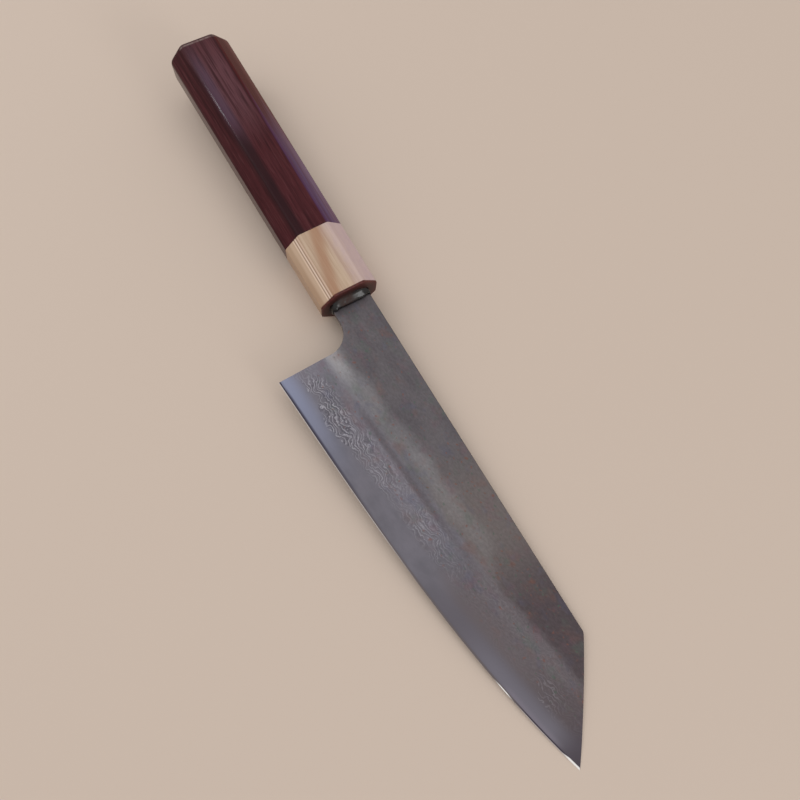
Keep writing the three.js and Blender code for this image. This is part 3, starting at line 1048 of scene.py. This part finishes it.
def pale_wood():
    """Pale tan wood: fine straight grain, painted highlight lines by the left ridge, a slanting brown
    streak, a spine side made pinkish and lighter by painted light.
    """
    p = Paint("pale_wood", Coat_Weight=0.15, Coat_Roughness=0.2)
    spot = p.handle_mm()
    x, y, _ = p.axes(spot)
    grain = p.noise(spot, (0.03, 0.6, 0.6), detail=3.0, roughness=0.55)
    fine = p.noise(spot, (0.08, 4, 4), detail=2.5, roughness=0.6)
    base = p.between(p.smooth(grain, 0.3, 0.7), FERRULE_DARK, FERRULE_LIGHT)
    base = p.tint(base, FERRULE_GRAIN, p.smooth(fine, 0.5, 0.7), 0.35)
    edge_side = p.smooth(y, -5.5, -7.5)
    base = p.tint(base, EDGE_SIDE_TAN, edge_side, 0.35)
    lower_border = p.smooth(y, -9.5, -11)
    base = p.tint(base, LOWER_BORDER_TAN, lower_border, 0.4)
    light_strip = p.band(y, -9.4, 0.5, 1.5)
    base = p.tint(base, LIGHT_STRIP_TAN, light_strip, 0.45)

    slant = p.times(p.minus(x, ferrule_back), 0.225)
    wander = p.times(p.minus(grain, 0.5), 3.5)
    streak = p.band(p.plus(y, slant, wander), 0.5, 0.7, 3.8)
    base = p.tint(base, BROWN_STREAK, streak, p.spread(fine, 0.5, 1.1))
    # Painted light: the spine side is lighter and tinted lilac, as lit by bluish daylight
    lit_spine_side = p.smooth(y, 0, 9)
    base = p.tint(base, SPINE_SIDE_PAINTED_LIGHT, lit_spine_side, 0.75)
    mottle = p.smooth(p.noise(spot, (0.3, 0.5, 0.5)), 0.45, 0.65)
    base = p.tint(base, MOTTLE_PINK, mottle, lit_spine_side, 0.4)
    # Painted highlight lines along the left ridge
    ridge_highlight_strength = p.spread(fine, 0.4, 1.0)
    for centre, tone in FERRULE_RIDGE_HIGHLIGHTS:
        base = p.tint(base, tone, p.band(y, centre, 0.12, 0.4), ridge_highlight_strength)
    p.out("Base Color", base)
    p.out("Roughness", p.spread(fine, 0.42, 0.56))
    p.out("Normal", p.bump(fine, FERRULE_RELIEF, 0.3))
    return p.material


# Tones of the front plate, the dowel, the resin and the floor
PLATE_DARK = (68, 26, 24)
PLATE_RED = (96, 43, 37)
PLATE_PORE = (44, 18, 16)
PLATE_NEAR_MOUTH = (38, 20, 17)
DOWEL_DARK = (186, 158, 118)
DOWEL_LIGHT = (214, 190, 150)
RESIN_BLACK = (8, 8, 8)
RESIN_GREY = (26, 24, 24)
RESIN_BROWN_REFLECTION = (62, 36, 30)
FLOOR_TONE = (202, 185, 171)


def dark_wood():
    """Red-brown front plate, cut across fine dark grain, darker toward the mouth."""
    p = Paint("dark_wood", Specular_IOR_Level=0.3)
    spot = p.handle_mm()
    _, y, z = p.axes(spot)
    grain = p.noise(spot, (0.3, 0.8, 2.6), detail=3.0, roughness=0.6)
    base = p.between(p.smooth(grain, 0.35, 0.65), PLATE_DARK, PLATE_RED)
    pores = p.smooth(p.noise(spot, (1, 3.5, 5)), 0.58, 0.68)
    base = p.tint(base, PLATE_PORE, pores, 0.6)
    across = p.math("DIVIDE", p.minus(y, mouth_centre), mouth_half_width)
    through = p.math("DIVIDE", z, mouth_half_thickness)
    from_mouth = p.plus(p.math("POWER", across, 2.0), p.math("POWER", through, 2.0))
    near_mouth = p.smooth(from_mouth, 2.3, 1.1)
    p.out("Base Color", p.tint(base, PLATE_NEAR_MOUTH, near_mouth, 0.8))
    p.out("Roughness", p.spread(grain, 0.36, 0.5))
    p.out("Normal", p.bump(pores, PORE_RELIEF, 0.3))
    return p.material


def dowel_wood():
    """Raw turned wood inside the handle."""
    p = Paint("dowel_wood")
    grain = p.noise(p.handle_mm(), (0.03, 0.9, 0.9), detail=3.0, roughness=0.55)
    p.out("Base Color", p.between(grain, DOWEL_DARK, DOWEL_LIGHT))
    p.out("Roughness", p.spread(grain, 0.6, 0.75))
    p.out("Normal", p.bump(grain, DOWEL_RELIEF, 0.3))
    return p.material


def resin():
    """Set black resin with an uneven glossy skin, and in the middle a duller patch with a painted brown
    reflection.
    """
    p = Paint("resin", Specular_IOR_Level=0.4)
    spot = p.handle_mm()
    _, y, _ = p.axes(spot)
    lumps = p.noise(spot, (0.42, 0.42, 0.42), detail=1.2, roughness=0.45)
    base = p.between(lumps, RESIN_BLACK, RESIN_GREY)
    broken = p.smooth(p.noise(spot, (0.6, 0.6, 0.6)), 0.22, 0.52)
    # Painted reflection: the brown plate seen in the resin's middle, where the skin is duller
    middle_patch = p.times(p.band(y, -1.8, 0.8, 5), broken)
    p.out("Base Color", p.tint(base, RESIN_BROWN_REFLECTION, middle_patch, 0.7))
    p.out("Roughness", p.plus(p.spread(lumps, 0.2, 0.3), p.times(middle_patch, 0.4)))
    p.out("Normal", p.bump(lumps, RESIN_RELIEF, 0.22))
    return p.material


def floor_finish():
    """Plain pale floor."""
    p = Paint("floor")
    p.out("Base Color", colour(*FLOOR_TONE))
    p.out("Roughness", 0.7)
    return p.material


# Pieces
layered = layered_steel()
new_piece("core_ply", make_core, ["blade_core"], [core_steel(), edge_steel()])
new_piece("right_cladding_ply", make_cladding(1), ["cladding_right"], [layered])
new_piece("left_cladding_ply", make_cladding(-1), ["cladding_left"], [layered])
new_piece("grip", make_body, ["handle_body"], [rosewood()])
new_piece("pale_ferrule", make_ferrule, ["ferrule"], [pale_wood()])
new_piece("front_plate", make_cap, ["front_cap"], [dark_wood()])
new_piece("resin_fill", make_resin, ["tang_bedding"], [resin()])
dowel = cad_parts["dowel"]
dowel.data.materials.clear()
dowel.data.materials.append(dowel_wood())

# Camera: its place, the point that it looks at, and its turn from the +Y direction
CAMERA_PLACE = Vector((0.05665, -0.03916, 0.22638))
CAMERA_TARGET = Vector((0.01703, 0.00953, 0.01025))
CAMERA_ROLL = math.radians(-60.81)
PICTURE_WIDTH = 800
FOCAL_PIXELS = 603
SENSOR_WIDTH = 36
NEAREST_SEEN = 0.01

forward = (CAMERA_TARGET - CAMERA_PLACE).normalized()
level = Vector((0, 1, 0))
level = (level - forward * forward.dot(level)).normalized()
up = level * math.cos(CAMERA_ROLL) + forward.cross(level) * math.sin(CAMERA_ROLL)
right = forward.cross(up)
turned = Matrix((right, up, -forward)).transposed().to_4x4()
camera_data = bpy.data.cameras.new("camera")
camera_data.sensor_width = SENSOR_WIDTH
camera_data.lens = SENSOR_WIDTH * FOCAL_PIXELS / PICTURE_WIDTH
camera_data.clip_start = NEAREST_SEEN
camera = bpy.data.objects.new("camera", camera_data)
camera.matrix_world = Matrix.Translation(CAMERA_PLACE) @ turned
bpy.context.scene.collection.objects.link(camera)
bpy.context.scene.camera = camera

# Floor: the knife rests on its tip and on the lower front edge of the handle
FLOOR_SIZE = 40.0
half_floor = FLOOR_SIZE / 2
tip_point = place(tip, tip_height, 0)
lean = math.atan2(tip_point.z - cap_low.z, tip_point.x - cap_high.x)
floor_mesh = bpy.data.meshes.new("floor")
corners = [(sx * half_floor, sy * half_floor, 0) for sx, sy in ((-1, -1), (1, -1), (1, 1), (-1, 1))]
floor_mesh.from_pydata(corners, [], [(0, 1, 2, 3)])
floor_mesh.materials.append(floor_finish())
floor = bpy.data.objects.new("floor", floor_mesh)
floor.matrix_world = Matrix.Translation((cap_high.x, 0, cap_low.z)) @ Matrix.Rotation(-lean, 4, "Y")
bpy.context.scene.collection.objects.link(floor)

# Light, in metres and watts: a window and a soft panel over the butt, a weak fill beyond the tip
WINDOW_PLACE = (-0.95, -0.47, 0.91)
WINDOW_SIZE = (0.05, 0.5)
WINDOW_POWER = 1.5
PANEL_SIZE = (1.4, 1.4)
PANEL_POWER = 3.3
FILL_PLACE = (1.3, 0.4, 0.6)
FILL_SIZE = (0.5, 0.4)
FILL_POWER = 4
DAYLIGHT = (0.95, 0.975, 1.0)
WHITE = (1.0, 1.0, 1.0)
HORIZON_COLOUR = colour(200, 191, 183)
ZENITH_COLOUR = colour(239, 239, 239)


def area_light(name, place_from, size, power, tint):
    """A lamp turned to the origin, with its first side as near to the X direction as it can be."""
    data = bpy.data.lights.new(name, "AREA")
    data.shape = "RECTANGLE"
    data.size, data.size_y = size
    data.energy = power
    data.color = tint
    lamp = bpy.data.objects.new(name, data)
    away = Vector(place_from).normalized()
    first = (Vector((1, 0, 0)) - away * away.x).normalized()
    facing = Matrix((first, away.cross(first), away)).transposed().to_4x4()
    lamp.matrix_world = Matrix.Translation(place_from) @ facing
    bpy.context.scene.collection.objects.link(lamp)


area_light("window", WINDOW_PLACE, WINDOW_SIZE, WINDOW_POWER, DAYLIGHT)
area_light("soft_panel", WINDOW_PLACE, PANEL_SIZE, PANEL_POWER, DAYLIGHT)
area_light("fill", FILL_PLACE, FILL_SIZE, FILL_POWER, WHITE)

# Room: soft and even, darker at the horizon
world = bpy.data.worlds.new("soft_room")
world.use_nodes = True
tree = world.node_tree
direction = tree.nodes.new("ShaderNodeTexCoord")
height = tree.nodes.new("ShaderNodeSeparateXYZ")
fade = tree.nodes.new("ShaderNodeValToRGB")
fade.color_ramp.elements[0].color = HORIZON_COLOUR
fade.color_ramp.elements[1].color = ZENITH_COLOUR
tree.links.new(direction.outputs["Generated"], height.inputs[0])
tree.links.new(height.outputs["Z"], fade.inputs["Fac"])
tree.links.new(fade.outputs["Color"], tree.nodes["Background"].inputs["Color"])
bpy.context.scene.world = world
bpy.context.scene.view_settings.view_transform = "Standard"
